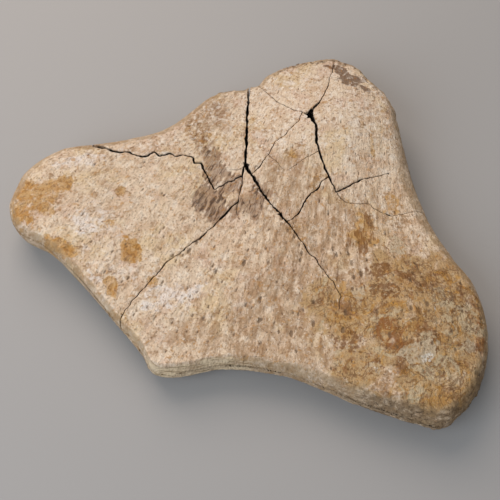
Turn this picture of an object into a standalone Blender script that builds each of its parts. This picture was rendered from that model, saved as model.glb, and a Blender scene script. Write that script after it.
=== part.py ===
# A fossil limb-girdle bone: a thick, gently dished plate with a swollen head and two rounded lobes.
# Old fractures run right through it and part it into seven fragments that still lie in place.
# Lengths are in millimetres here and become metres where a mesh is made. +Z is up and the bone lies flat.
import bpy
import bmesh
import numpy as np

MM = 0.001

# The middle of the outline's box in plan, which becomes the origin.
MIDDLE = (0.8, 1.6)

# The outline seen from above, round the bone from the tip of the left lobe by way of the lower edge.
# Each knot: x, y, width of the rounded shoulder, height of the widest line of the rim.
OUTLINE = {
    "left_tip": (-147.6, 13.8, 9.0, 21.0),
    "left_heel": (-139.5, -4.0, 7.0, 22.0),
    "heel_hollow": (-121.5, -14.4, 6.5, 22.0),
    "left_flank": (-104.6, -29.3, 6.0, 20.5),
    "lower_left_flank": (-80.2, -56.7, 5.5, 18.0),
    "above_corner": (-58.9, -81.2, 4.5, 13.0),
    "corner": (-50.3, -93.4, 3.5, 9.5),
    "past_corner": (-37.0, -95.4, 4.0, 9.5),
    "broken_edge": (-8.0, -90.5, 4.5, 12.0),
    "under_edge": (32.4, -97.1, 6.0, 13.5),
    "under_edge_far": (66.1, -111.6, 8.5, 13.0),
    "lobe_heel": (98.2, -123.0, 9.5, 12.0),
    "lobe_corner": (118.0, -126.9, 10.0, 12.0),
    "lobe_lower": (133.5, -115.5, 9.0, 13.0),
    "lobe_side": (145.8, -93.9, 9.5, 14.5),
    "lobe_far_side": (149.3, -70.0, 9.0, 16.0),
    "lobe_shoulder": (145.1, -45.0, 9.5, 17.0),
    "right_flank": (133.5, -23.9, 12.0, 18.0),
    "right_dip": (122.1, 0.9, 14.5, 19.0),
    "right_waist": (113.3, 33.9, 15.0, 19.5),
    "head_right": (108.8, 61.9, 12.0, 21.0),
    "head_side": (106.8, 77.9, 10.0, 22.5),
    "head_upper_right": (103.0, 92.2, 9.5, 24.0),
    "crown_shoulder": (92.7, 106.4, 8.5, 25.5),
    "crown_right": (82.2, 120.7, 8.0, 27.0),
    "crown": (62.5, 130.2, 9.0, 28.0),
    "crown_left": (41.9, 126.5, 8.0, 28.0),
    "head_left": (26.3, 121.3, 7.0, 28.0),
    "head_edge": (18.1, 115.4, 6.5, 27.5),
    "notch": (12.0, 107.5, 6.0, 27.0),
    "ledge": (-18.0, 102.2, 6.0, 25.0),
    "flange": (-27.6, 94.6, 8.0, 22.0),
    "upper_flank": (-47.8, 77.2, 11.0, 20.0),
    "upper_waist": (-80.2, 66.9, 12.0, 18.0),
    "left_top": (-119.7, 58.9, 13.0, 18.0),
    "left_upper": (-140.4, 41.2, 13.0, 18.5),
    "left_shoulder": (-145.7, 27.4, 13.0, 20.0),
}

# The upper face is one even height with broad swells and hollows added.
# Each swell: x, y, height, reach.
UPPER_LEVEL = 29.0
SWELLS = {
    "head": (69.0, 77.0, 15.0, 48.0),
    "right_lobe": (111.0, -67.0, 10.0, 46.0),
    "left_lobe": (-117.0, 25.0, 3.0, 40.0),
    "broken_corner": (-41.0, -77.0, -5.0, 45.0),
    "lower_edge": (29.0, -85.0, -3.0, 40.0),
    "dish": (-8.0, 15.0, -3.0, 50.0),
}

# The underside arches a little, and three pads reach down to the ground and are flat there.
# Each pad: x, y, depth below the arch, reach.
ARCH_HEIGHT = 5.5
PADS = {
    "left_pad": (-113.0, 24.0, 10.0, 28.0),
    "head_pad": (68.0, 80.0, 10.0, 28.0),
    "right_pad": (106.0, -72.0, 10.0, 30.0),
}

# How square the rim is in section above and below its widest line, and how much wider it rounds below.
ROUND_ABOVE = 2.15
ROUND_BELOW = 1.9
WIDER_BELOW = 1.25

# The upper and lower skins are square sheets drawn out to the outline from one centre.
SHEET_ROWS = 34
RIM_CROWDING = 1.5
SHEET_CENTRE = (19.0, -1.0)
STEPS_PER_KNOT = 24

# Fractures: floor of the cut, gap at its start and at its end, then the bends of the line.
# A cut whose floor is under the ground parts the bone; the others are slots in the upper face.
THROUGH = -12.0
SHALLOW = 18.0
CUT_TOP = 62.0
FRACTURES = {
    "crown_split": (THROUGH, 1.6, 1.5, [
        (7.0, 112.0), (5.3, 84.5), (4.5, 60.3), (3.9, 46.1), (4.9, 42.6)]),
    "deep_split": (THROUGH, 1.8, 1.1, [
        (4.3, 44.0), (6.8, 38.2), (17.2, 18.8), (20.6, 15.1), (26.8, 5.9), (30.3, 1.0)]),
    "deep_split_tail": (SHALLOW, 0.9, 0.4, [
        (29.4, 2.2), (35.1, -6.9), (42.9, -20.2), (46.7, -24.9), (60.1, -47.8), (61.0, -56.0)]),
    "right_branch": (THROUGH, 1.0, 1.0, [
        (29.4, 1.2), (33.7, 2.8), (37.2, 6.1), (41.8, 14.3), (45.7, 19.7), (50.6, 23.5), (57.8, 31.6)]),
    "neck_split": (THROUGH, 1.8, 1.0, [
        (46.0, 74.6), (50.1, 66.6), (49.9, 54.8), (53.6, 41.0), (57.4, 31.1), (61.9, 20.2)]),
    "crown_hairline": (THROUGH, 1.5, 0.4, [
        (46.0, 72.0), (46.8, 76.0), (53.3, 84.6), (60.4, 102.0), (62.7, 111.9), (68.0, 136.0)]),
    "notch_hairline": (THROUGH, 0.5, 0.4, [
        (47.0, 73.6), (39.1, 79.0), (25.5, 90.0), (15.2, 103.7), (9.0, 113.0)]),
    "wedge_hairline": (THROUGH, 0.4, 0.4, [
        (41.7, 78.3), (38.9, 71.1), (29.4, 62.7), (23.1, 58.4), (14.3, 43.1), (7.2, 36.6)]),
    "flank_hairline": (THROUGH, 0.6, 0.4, [
        (61.4, 21.4), (64.5, 15.6), (68.1, 12.8), (82.2, 12.5), (90.0, 6.0), (98.0, 3.4), (130.0, 11.0)]),
    "side_branch": (SHALLOW, 0.9, 0.4, [
        (61.2, 20.4), (70.3, 24.3), (77.3, 28.3), (96.5, 33.8)]),
    "upper_left_split": (THROUGH, 1.6, 0.9, [
        (-104.0, 71.0), (-96.0, 60.0), (-88.0, 55.2), (-63.8, 49.7), (-56.2, 53.3), (-45.5, 52.0),
        (-36.2, 51.7), (-30.4, 49.4), (-26.0, 44.6), (-15.8, 26.4), (2.4, 36.0)]),
    "short_link": (THROUGH, 0.9, 0.9, [
        (1.8, 34.8), (3.0, 42.2), (5.2, 43.6)]),
    "left_link": (THROUGH, 0.8, 0.8, [
        (2.1, 36.6), (1.7, 29.5), (-0.5, 16.4)]),
    "left_split": (THROUGH, 1.0, 0.4, [
        (-0.1, 17.4), (-13.7, 2.7), (-22.4, -8.5), (-44.0, -26.7), (-63.2, -51.6), (-78.0, -79.0)]),
    "wedge_slot": (SHALLOW + 8.0, 0.4, 0.4, [
        (51.2, 48.3), (43.9, 45.1), (31.5, 37.3)]),
}

# Where small corners have broken out of the upper face: floor of the hole, then its three corners.
CHIPS = {
    "neck_chip": (26.0, [(42.6, 75.4), (46.9, 79.2), (48.6, 68.4)]),
    "deep_chip": (20.0, [(24.4, 6.4), (28.2, 8.0), (29.8, 2.4)]),
    "crown_chip": (20.0, [(2.6, 45.4), (6.6, 43.6), (4.2, 40.2)]),
}

# Each fragment: a point well inside it, then its colour as red, green and blue.
FRAGMENTS = {
    "left_lobe": (-88.0, 15.0, (0.66, 0.52, 0.36)),
    "upper_left_flange": (-14.0, 70.0, (0.64, 0.51, 0.37)),
    "head_left": (20.0, 75.0, (0.65, 0.52, 0.38)),
    "centre_wedge": (33.0, 37.0, (0.66, 0.54, 0.40)),
    "head_top": (38.0, 100.0, (0.65, 0.52, 0.37)),
    "head_right": (85.0, 60.0, (0.65, 0.52, 0.38)),
    "blade": (37.0, -60.0, (0.60, 0.46, 0.31)),
}
ROUGHNESS = 0.82


def place(x, y, z):
    return (x - MIDDLE[0]) * MM, (y - MIDDLE[1]) * MM, z * MM


def smooth_loop(knots, steps):
    """A closed curve through the knots that bends evenly whatever the distance between them."""
    rows = []
    share = np.linspace(0.0, 1.0, steps, endpoint=False)[:, None]
    square = share * share
    cube = square * share
    for i in range(len(knots)):
        a = knots[i - 1]
        b = knots[i]
        c = knots[(i + 1) % len(knots)]
        d = knots[(i + 2) % len(knots)]
        before = np.linalg.norm(b[:2] - a[:2]) ** 0.5
        here = np.linalg.norm(c[:2] - b[:2]) ** 0.5
        after = np.linalg.norm(d[:2] - c[:2]) ** 0.5
        leave = here * ((b - a) / before - (c - a) / (before + here) + (c - b) / here)
        arrive = here * ((c - b) / here - (d - b) / (here + after) + (d - c) / after)
        near = (2 * cube - 3 * square + 1) * b + (cube - 2 * square + share) * leave
        far = (3 * square - 2 * cube) * c + (cube - square) * arrive
        rows.append(near + far)
    return np.concatenate(rows)


def upper_height(x, y):
    height = np.full(x.shape, UPPER_LEVEL)
    for cx, cy, rise, reach in SWELLS.values():
        height += rise * np.exp(-((x - cx) ** 2 + (y - cy) ** 2) / reach ** 2)
    return height


def lower_height(x, y):
    height = np.full(x.shape, ARCH_HEIGHT)
    for cx, cy, depth, reach in PADS.values():
        height -= depth * np.exp(-((x - cx) ** 2 + (y - cy) ** 2) / reach ** 2)
    return np.maximum(height, 0.0)


def rounding(distance, width, power):
    """Share of the way from the widest line to the face: a quarter of a squared-off ellipse."""
    inward = np.clip(distance / width, 0.0, 1.0)
    return (1.0 - (1.0 - inward) ** power) ** (1.0 / power)


def sheet_points(loop):
    """Plan position of every sheet point, its shoulder width, rim height and distance from the rim."""
    half = SHEET_ROWS // 2
    along = np.concatenate([[0.0], np.cumsum(np.linalg.norm(np.diff(loop[:, :2], axis=0), axis=1))])
    along = np.append(along, along[-1] + np.linalg.norm(loop[0, :2] - loop[-1, :2]))
    closed = np.vstack([loop, loop[:1]])
    grid = np.arange(-half, half + 1)
    i, j = np.meshgrid(grid, grid, indexing="ij")
    ring = np.maximum(np.abs(i), np.abs(j))
    safe = np.maximum(ring, 1)
    turn = np.where(i == ring, 1.0 + j / safe,
                    np.where(j == ring, 3.0 - i / safe,
                             np.where(i == -ring, 5.0 - j / safe, 7.0 + i / safe)))
    share = (turn / 8.0) % 1.0
    rim = [np.interp(share * along[-1], along, closed[:, axis]) for axis in range(4)]
    reach = 1.0 - (1.0 - ring / half) ** RIM_CROWDING
    x = SHEET_CENTRE[0] + reach * (rim[0] - SHEET_CENTRE[0])
    y = SHEET_CENTRE[1] + reach * (rim[1] - SHEET_CENTRE[1])
    apart = np.hypot(x[..., None] - loop[:, 0], y[..., None] - loop[:, 1])
    nearest = apart.argmin(axis=-1)
    width = np.where(ring == half, rim[2], loop[nearest, 2])
    waist = np.where(ring == half, rim[3], loop[nearest, 3])
    distance = np.where(ring == half, 0.0, apart.min(axis=-1))
    return x, y, width, waist, distance


def whole_bone():
    loop = smooth_loop(np.array(list(OUTLINE.values())), STEPS_PER_KNOT)
    x, y, width, waist, distance = sheet_points(loop)
    upper = waist + (upper_height(x, y) - waist) * rounding(distance, width, ROUND_ABOVE)
    under = rounding(distance, width * WIDER_BELOW, ROUND_BELOW)
    lower = waist - (waist - lower_height(x, y)) * under
    rows = SHEET_ROWS + 1
    half = SHEET_ROWS // 2
    bm = bmesh.new()
    top = {}
    bottom = {}
    for i in range(rows):
        for j in range(rows):
            top[i, j] = bm.verts.new(place(x[i, j], y[i, j], upper[i, j]))
            on_rim = i in (0, rows - 1) or j in (0, rows - 1)
            if on_rim:
                bottom[i, j] = top[i, j]
            else:
                bottom[i, j] = bm.verts.new(place(x[i, j], y[i, j], lower[i, j]))
    for i in range(rows - 1):
        for j in range(rows - 1):
            corners = [(i, j), (i + 1, j), (i + 1, j + 1), (i, j + 1)]
            if (i < half) != (j < half):
                corners = corners[1:] + corners[:1]
            for a, b, c in ((0, 1, 2), (0, 2, 3)):
                bm.faces.new((top[corners[a]], top[corners[b]], top[corners[c]]))
                bm.faces.new((bottom[corners[c]], bottom[corners[b]], bottom[corners[a]]))
    bmesh.ops.recalc_face_normals(bm, faces=bm.faces)
    return mesh_object("whole_bone", bm)


def mesh_object(name, bm):
    mesh = bpy.data.meshes.new(name)
    bm.to_mesh(mesh)
    bm.free()
    item = bpy.data.objects.new(name, mesh)
    bpy.context.scene.collection.objects.link(item)
    return item


def prism(name, plan, floor):
    """A closed upright prism over a ring of plan corners, from its floor to well above the bone."""
    bm = bmesh.new()
    low = [bm.verts.new(place(px, py, floor)) for px, py in plan]
    high = [bm.verts.new(place(px, py, CUT_TOP)) for px, py in plan]
    bm.faces.new(low)
    bm.faces.new(high)
    for k in range(len(plan)):
        n = (k + 1) % len(plan)
        bm.faces.new((low[k], low[n], high[n], high[k]))
    bmesh.ops.recalc_face_normals(bm, faces=bm.faces)
    return mesh_object(name, bm)


def gap_plan(line, start_gap, end_gap):
    """Plan corners of a crack: both its sides, set off from the line and mitred at each bend."""
    line = np.array(line)
    step = np.diff(line, axis=0)
    step /= np.linalg.norm(step, axis=1)[:, None]
    before = np.vstack([step[:1], step])
    after = np.vstack([step, step[-1:]])
    along = before + after
    along /= np.linalg.norm(along, axis=1)[:, None]
    side = np.stack([-along[:, 1], along[:, 0]], axis=1)
    stretch = 1.0 / np.maximum((along * after).sum(axis=1), 0.6)
    gap = np.linspace(start_gap, end_gap, len(line))
    offset = side * (0.5 * gap * stretch)[:, None]
    return np.vstack([line + offset, (line - offset)[::-1]])


def cut(target, cutter):
    cutter.display_type = "WIRE"
    cutter.hide_render = True
    step = target.modifiers.new(cutter.name, "BOOLEAN")
    step.operation = "DIFFERENCE"
    step.solver = "EXACT"
    step.object = cutter


def applied_mesh(item):
    """The mesh with its modifiers worked in; the item itself and its mesh are taken away."""
    graph = bpy.context.evaluated_depsgraph_get()
    mesh = bpy.data.meshes.new_from_object(item.evaluated_get(graph))
    bpy.data.objects.remove(item, do_unlink=True)
    return mesh


def islands(bm):
    """Groups of faces that hang together, largest first."""
    waiting = set(bm.faces)
    groups = []
    while waiting:
        group = [waiting.pop()]
        for face in group:
            for edge in face.edges:
                for other in edge.link_faces:
                    if other in waiting:
                        waiting.remove(other)
                        group.append(other)
        groups.append(group)
    return sorted(groups, key=len, reverse=True)


def bone_material(name, colour):
    material = bpy.data.materials.new(name + "_bone")
    material.use_nodes = True
    shader = material.node_tree.nodes["Principled BSDF"]
    shader.inputs["Base Color"].default_value = (*colour, 1.0)
    shader.inputs["Roughness"].default_value = ROUGHNESS
    shader.inputs["Metallic"].default_value = 0.0
    material.diffuse_color = (*colour, 1.0)
    return material


def part_fragments(mesh):
    """One object for each fragment, found by the island that lies nearest to its inner point."""
    bm = bmesh.new()
    bm.from_mesh(mesh)
    groups = islands(bm)[:len(FRAGMENTS)]
    corners = [{v for face in group for v in face.verts} for group in groups]
    for name, (px, py, colour) in FRAGMENTS.items():
        gaps = [min((v.co.x - px * MM) ** 2 + (v.co.y - py * MM) ** 2 for v in ring) for ring in corners]
        chosen = groups[gaps.index(min(gaps))]
        piece = bmesh.new()
        copies = {}
        for face in sorted(chosen, key=lambda f: f.index):
            for v in face.verts:
                if v not in copies:
                    copies[v] = piece.verts.new(v.co)
            piece.faces.new([copies[v] for v in face.verts])
        bmesh.ops.triangulate(piece, faces=piece.faces)
        bmesh.ops.recalc_face_normals(piece, faces=piece.faces)
        item = mesh_object(name, piece)
        item.data.materials.append(bone_material(name, colour))
        item.data.shade_smooth()
        item.data.set_sharp_from_angle(angle=0.7)
    bm.free()


def main():
    for item in list(bpy.data.objects):
        bpy.data.objects.remove(item, do_unlink=True)
    bone = whole_bone()
    cutters = []
    for name, (floor, start_gap, end_gap, line) in FRACTURES.items():
        cutters.append(prism(name, gap_plan(line, start_gap, end_gap), floor))
    for name, (floor, plan) in CHIPS.items():
        cutters.append(prism(name, plan, floor))
    for cutter in cutters:
        cut(bone, cutter)
    broken = applied_mesh(bone)
    for cutter in cutters:
        bpy.data.objects.remove(cutter, do_unlink=True)
    part_fragments(broken)
    bpy.data.meshes.remove(broken)


main()
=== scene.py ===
import math

import bpy
import numpy as np
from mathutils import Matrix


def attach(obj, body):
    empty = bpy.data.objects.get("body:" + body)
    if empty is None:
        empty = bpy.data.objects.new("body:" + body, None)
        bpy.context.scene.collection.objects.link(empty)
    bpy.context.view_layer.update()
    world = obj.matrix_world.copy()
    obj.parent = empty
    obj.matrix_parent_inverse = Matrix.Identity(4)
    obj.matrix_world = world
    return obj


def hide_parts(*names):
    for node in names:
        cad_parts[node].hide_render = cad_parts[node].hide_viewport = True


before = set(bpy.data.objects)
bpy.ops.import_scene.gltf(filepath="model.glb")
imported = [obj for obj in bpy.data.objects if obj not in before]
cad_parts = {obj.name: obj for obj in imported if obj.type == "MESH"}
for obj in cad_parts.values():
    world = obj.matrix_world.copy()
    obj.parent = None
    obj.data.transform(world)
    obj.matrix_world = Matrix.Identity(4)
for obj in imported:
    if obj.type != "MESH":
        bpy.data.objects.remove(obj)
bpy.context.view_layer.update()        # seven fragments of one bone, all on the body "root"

# Lengths are millimetres; they become metres where a mesh is filled. Heights start at the table.


def cellNumber(ix, iy, iz, seed):
    # an even number from 0 to 1 for each whole-number cell: the cell's three indices and a seed, multiplied and mixed
    h = (ix * 374761393 + iy * 668265263 + iz * 1440662683 + seed * 1274126177) & 0xffffffff
    h = ((h ^ (h >> 13)) * 1103515245) & 0xffffffff
    h = ((h ^ (h >> 15)) * 668265263) & 0xffffffff
    return ((h ^ (h >> 16)) & 0xffffff) / 16777215.0


def softNoise(p, size, seed):
    # cell numbers at the corners of cubes of one size, blended inside each cube by 6t^5 - 15t^4 + 10t^3, from -1 to 1
    q = p / size
    base = np.floor(q).astype(np.int64)
    t = q - base
    t = t * t * t * (t * (t * 6 - 15) + 10)
    total = np.zeros(len(p))
    for dx in (0, 1):
        wx = t[:, 0] if dx else 1 - t[:, 0]
        for dy in (0, 1):
            wy = t[:, 1] if dy else 1 - t[:, 1]
            for dz in (0, 1):
                wz = t[:, 2] if dz else 1 - t[:, 2]
                total += wx * wy * wz * cellNumber(base[:, 0] + dx, base[:, 1] + dy, base[:, 2] + dz, seed)
    return total * 2 - 1


def layeredNoise(p, size, seed, layers=3):
    # soft noise with each layer at half the size and half the strength of the last
    total = np.zeros(len(p))
    for k in range(layers):
        total += softNoise(p, size / 2 ** k, seed + k * 17) / 2 ** k
    return total / (2 - 2 ** (1 - layers))


def ramp(value, low, high):
    # 0 below low, 1 above high, and 3t^2 - 2t^3 between
    t = np.clip((value - low) / (high - low), 0, 1)
    return t * t * (3 - 2 * t)


def pitField(u, v, cellU, cellV, seed, share, radiusU, radiusV):
    # one oval pit in some cells of a grid; depth is (1 - e^2)^2 of the oval distance e, the deepest pit wins
    iu, iv = np.floor(u / cellU).astype(np.int64), np.floor(v / cellV).astype(np.int64)
    depth = np.zeros(len(u))
    zero = np.zeros(len(u), dtype=np.int64)
    for du in (-1, 0, 1):
        for dv in (-1, 0, 1):
            cu, cv = iu + du, iv + dv
            here = cellNumber(cu, cv, zero, seed) < share
            size = 0.55 + 0.9 * cellNumber(cu, cv, zero, seed + 1) ** 2
            pu = (cu + 0.15 + 0.7 * cellNumber(cu, cv, zero, seed + 2)) * cellU
            pv = (cv + 0.15 + 0.7 * cellNumber(cu, cv, zero, seed + 3)) * cellV
            e = ((u - pu) / (radiusU * size)) ** 2 + ((v - pv) / (radiusV * size)) ** 2
            depth = np.maximum(depth, np.where(here, size * np.clip(1 - e, 0, 1) ** 2, 0))
    return depth


# The bone's outline: x, y, width of the rounded shoulder, height of the rim's widest line.
outlineKnots = {
    "leftTip": (-147.6, 13.8, 9, 21), "leftHeel": (-139.5, -4, 7, 22),
    "heelHollow": (-121.5, -14.4, 6.5, 22), "leftFlank": (-104.6, -29.3, 6, 20.5),
    "lowerLeftFlank": (-80.2, -56.7, 5.5, 18), "aboveCorner": (-58.9, -81.2, 4.5, 13),
    "corner": (-50.3, -93.4, 3.5, 9.5), "pastCorner": (-37, -95.4, 4, 9.5),
    "brokenEdge": (-8, -90.5, 4.5, 12), "underEdge": (32.4, -97.1, 6, 13.5),
    "underEdgeFar": (66.1, -111.6, 8.5, 13), "lobeHeel": (98.2, -123, 9.5, 12),
    "lobeCorner": (118, -126.9, 10, 12), "lobeLower": (133.5, -115.5, 9, 13),
    "lobeSide": (145.8, -93.9, 9.5, 14.5), "lobeFarSide": (149.3, -70, 9, 16),
    "lobeShoulder": (145.1, -45, 9.5, 17), "rightFlank": (133.5, -23.9, 12, 18),
    "rightDip": (122.1, 0.9, 14.5, 19), "rightWaist": (113.3, 33.9, 15, 19.5),
    "headRight": (108.8, 61.9, 12, 21), "headSide": (106.8, 77.9, 10, 22.5),
    "headUpperRight": (103, 92.2, 9.5, 24), "crownShoulder": (92.7, 106.4, 8.5, 25.5),
    "crownRight": (82.2, 120.7, 8, 27), "crown": (62.5, 130.2, 9, 28), "crownLeft": (41.9, 126.5, 8, 28),
    "headLeft": (26.3, 121.3, 7, 28), "headEdge": (18.1, 115.4, 6.5, 27.5), "notch": (12, 107.5, 6, 27),
    "ledge": (-18, 102.2, 6, 25), "flange": (-27.6, 94.6, 8, 22), "upperFlank": (-47.8, 77.2, 11, 20),
    "upperWaist": (-80.2, 66.9, 12, 18), "leftTop": (-119.7, 58.9, 13, 18),
    "leftUpper": (-140.4, 41.2, 13, 18.5), "leftShoulder": (-145.7, 27.4, 13, 20),
}

boneShape = {
    "middle": (0.8, 1.6),             # middle of the outline's box, which is the origin
    "centre": (19.0, -1.0),           # where the rings of the two sheets close
    "upperLevel": 29.0,
    "swells": {                       # x, y, height, reach
        "head": (69, 77, 15, 48), "rightLobe": (111, -67, 10, 46), "leftLobe": (-117, 25, 3, 40),
        "brokenCorner": (-41, -77, -5, 45), "lowerEdge": (29, -85, -3, 40), "dish": (-8, 15, -3, 50),
    },
    "archHeight": 5.5,
    "pads": {                         # x, y, depth below the arch, reach
        "left": (-113, 24, 10, 28), "head": (68, 80, 10, 28), "right": (106, -72, 10, 30),
    },
    "roundAbove": 2.15, "roundBelow": 1.9,      # powers of the rim's curve; 2 is a quarter circle
    "widerBelow": 1.25,
    "rimKnobs": {                     # how far the outline is pushed out, size of the knobs, seed
        "crown": ((0.75, 7, 37), (0.45, 2.8, 38)), "head": ((1.1, 9, 7), (0.55, 3.5, 8)),
        "lobe": ((0.5, 6, 9), (0.3, 2.5, 10)),
    },
    "knotSteps": 52,                  # points between two knots of the outline
    "rows": 400,                      # quads along the upper sheet; the underside has half as many
    "shoulderRings": 0.26,            # share of the rings that the rounded rim gets
    "grainFocus": (72.0, 213.0),      # the vessel grooves of the surface fan out from this point
    "grainRadius": 230.0,
}


def smoothLoop(knots, steps):
    # closed centripetal spline: cubic Hermite pieces whose slopes weigh the neighbours by the root of their distance
    k = np.array(knots, dtype=float)
    a, b, c, d = np.roll(k, 1, 0), k, np.roll(k, -1, 0), np.roll(k, -2, 0)
    before, here, after = [
        np.sqrt(np.linalg.norm((m - n)[:, :2], axis=1))[:, None] for m, n in ((b, a), (c, b), (d, c))]
    leave = here * ((b - a) / before - (c - a) / (before + here) + (c - b) / here)
    arrive = here * ((c - b) / here - (d - b) / (here + after) + (d - c) / after)
    t = np.linspace(0, 1, steps, endpoint=False)[:, None, None]
    rows = (2 * t ** 3 - 3 * t ** 2 + 1) * b + (t ** 3 - 2 * t ** 2 + t) * leave
    rows = rows + (3 * t ** 2 - 2 * t ** 3) * c + (t ** 3 - t ** 2) * arrive
    return rows.transpose(1, 0, 2).reshape(-1, 4)


def roughOutline():
    # the spline pushed out or in along its normal by noise: low knobs everywhere, strong ones on three stretches of rim
    loop = smoothLoop(list(outlineKnots.values()), boneShape["knotSteps"])
    along = np.roll(loop[:, :2], -1, 0) - np.roll(loop[:, :2], 1, 0)
    out = np.stack([along[:, 1], -along[:, 0]], 1) / np.linalg.norm(along, axis=1)[:, None]
    x, y = loop[:, 0], loop[:, 1]
    p = np.column_stack([x, y, np.zeros(len(loop))])

    def knobs(name):      # its noises, added up
        return sum(amount * softNoise(p, size, seed) for amount, size, seed in boneShape["rimKnobs"][name])

    push = 0.35 * layeredNoise(p, 16, 3) + 0.16 * layeredNoise(p, 4, 5)
    push += ramp(y, 62, 84) * ramp(x, 62, 74) * knobs("crown")
    push += ramp(y, 88, 104) * ramp(70 - x, 0, 20) * knobs("head") + ramp(x, 96, 120) * ramp(-y, 60, 85) * knobs("lobe")
    loop[:, :2] += out * push[:, None]
    return loop


def upperHeight(x, y):
    # one even height plus a bell, rise * exp(-distance^2 / reach^2), for each swell or hollow
    height = np.full(np.shape(x), boneShape["upperLevel"])
    for cx, cy, rise, reach in boneShape["swells"].values():
        height = height + rise * np.exp(-((x - cx) ** 2 + (y - cy) ** 2) / reach ** 2)
    return height


def lowerHeight(x, y):
    # the arch less a bell for each pad, cut off flat at the ground
    height = np.full(np.shape(x), boneShape["archHeight"])
    for cx, cy, depth, reach in boneShape["pads"].values():
        height = height - depth * np.exp(-((x - cx) ** 2 + (y - cy) ** 2) / reach ** 2)
    return np.maximum(height, 0.0)


def nearest(points, targets):
    # distance from each point to the nearest target and that target's index, in blocks so that memory stays small
    found, which = [], []
    for block in np.array_split(points, max(1, len(points) // 3000)):
        apart = (block[:, None, 0] - targets[None, :, 0]) ** 2 + (block[:, None, 1] - targets[None, :, 1]) ** 2
        index = apart.argmin(axis=1)
        found.append(np.sqrt(apart[np.arange(len(block)), index]))
        which.append(index)
    return np.concatenate(found), np.concatenate(which)


def shoulder(face, waist, distance, width, power):
    # from the rim's widest line towards a face, by the squared-off quarter ellipse (1 - (1 - d/w)^n)^(1/n)
    return waist + (face - waist) * (1 - (1 - np.clip(distance / width, 0, 1)) ** power) ** (1 / power)


def layOut(loop):
    # a square sheet whose square rings are the outline drawn in to one centre; rings crowd where the rim is round
    rows = boneShape["rows"]
    half = rows // 2
    i, j = np.meshgrid(np.arange(-half, half + 1), np.arange(-half, half + 1), indexing="ij")
    ring = np.maximum(np.abs(i), np.abs(j))
    safe = np.maximum(ring, 1)
    turn = np.select([i == ring, j == ring, i == -ring], [1 + j / safe, 3 - i / safe, 5 - j / safe], 7 + i / safe)
    closed = np.vstack([loop, loop[:1]])
    along = np.concatenate([[0], np.cumsum(np.linalg.norm(np.diff(closed[:, :2], axis=0), axis=1))])
    place = (turn / 8 % 1) * along[-1]
    rim = [np.interp(place, along, closed[:, k]) for k in range(4)]
    cx, cy = boneShape["centre"]
    share = boneShape["shoulderRings"]
    band = 1.2 * rim[2] / np.hypot(rim[0] - cx, rim[1] - cy)
    inner = (1 - band) * (ring / half) / (1 - share)
    outer = 1 - band * (1 - np.cos(0.5 * math.pi * np.clip((1 - ring / half) / share, 0, 1)))
    reach = np.where(ring / half < 1 - share, inner, outer)
    return cx + reach * (rim[0] - cx), cy + reach * (rim[1] - cy), ring == half, rim


def inMetres(points):
    # from the outline's millimetres to metres from the middle of the model
    moved = points.copy()
    moved[:, :2] -= boneShape["middle"]
    return moved / 1000


def meshFromArrays(name, points, loops, counts):
    # points in metres, the corner numbers of all faces in one row, and how many corners each face has
    mesh = bpy.data.meshes.new(name)
    mesh.vertices.add(len(points))
    mesh.vertices.foreach_set("co", np.ascontiguousarray(points, dtype=np.float32).ravel())
    mesh.loops.add(len(loops))
    mesh.loops.foreach_set("vertex_index", loops.astype(np.int32))
    mesh.polygons.add(len(counts))
    mesh.polygons.foreach_set("loop_start", np.concatenate([[0], np.cumsum(counts)[:-1]]).astype(np.int32))
    mesh.polygons.foreach_set("loop_total", counts.astype(np.int32))
    mesh.update(calc_edges=True)
    mesh.validate()
    return mesh


# Relief of the bone's skin: how far each kind of mark stands out or goes in.
skin = {
    "waves": ((0.42, 34, 11), (0.26, 14, 12), (0.1, 5, 13)),      # height, size, seed
    "vessels": 0.22, "fibres": 0.14, "headGrit": 0.16, "grooves": 0.5, "grit": 0.15, "pores": 0.85,
    "rimKnobs": 0.16, "lobeRim": (0.45, 0.75), "headRim": (0.55, 0.8),      # knobs and pits
    "brokenRim": (0.5, 0.3),          # layers of bone and grit
    "lips": (0.35, 0.75),             # even wear and chips along the cracks
    "lobeFlakes": 0.28,
}


def flowPlace(x, y):
    # polar coordinates about the grain's focus: arc length across the grain, distance along it
    fx, fy = boneShape["grainFocus"]
    angle = np.arctan2(x - fx, fy - y)
    return angle * boneShape["grainRadius"], np.hypot(x - fx, y - fy)


def grainShare(x, y):
    # how plainly the vessel grooves show: 1 over most of the bone and a quarter on the head
    return 1 - 0.75 * np.exp(-(((x - 66) / 50) ** 2 + ((y - 86) / 52) ** 2))


def grooveShare(x, y):
    # how deep the open vessel grooves are: a bell right of the middle and a weaker one below the middle
    right = np.exp(-(((x - 52) / 44) ** 2 + ((y + 26) / 46) ** 2))
    return right + 0.5 * np.exp(-(((x + 10) / 50) ** 2 + ((y + 45) / 40) ** 2))


def poreShare(x, y):
    # how many cells hold a pore: most in the middle and the lower middle, fewer on the head and at the left
    middle = np.exp(-(((x - 5) / 70) ** 2 + ((y + 40) / 45) ** 2))
    lobe = np.exp(-(((x - 95) / 45) ** 2 + ((y + 60) / 45) ** 2))
    left = np.exp(-(((x + 95) / 35) ** 2 + ((y - 5) / 30) ** 2))
    return 0.14 + 0.42 * middle + 0.18 * lobe + 0.12 * left


def pores(x, y):
    # two fields of pits drawn out along the grain, wide ones 2 mm by 5 mm and small ones 1.2 mm by 3.4 mm
    across, along = flowPlace(x, y)
    big = pitField(across, along, 5.2, 8.0, 41, 0.5 + 0 * x, 1.0, 2.5) * ramp(poreShare(x, y), 0.18, 0.44)
    small = pitField(across, along, 2.6, 4.6, 47, poreShare(x, y), 0.62, 1.7)
    return np.maximum(big, 0.75 * small)


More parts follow.
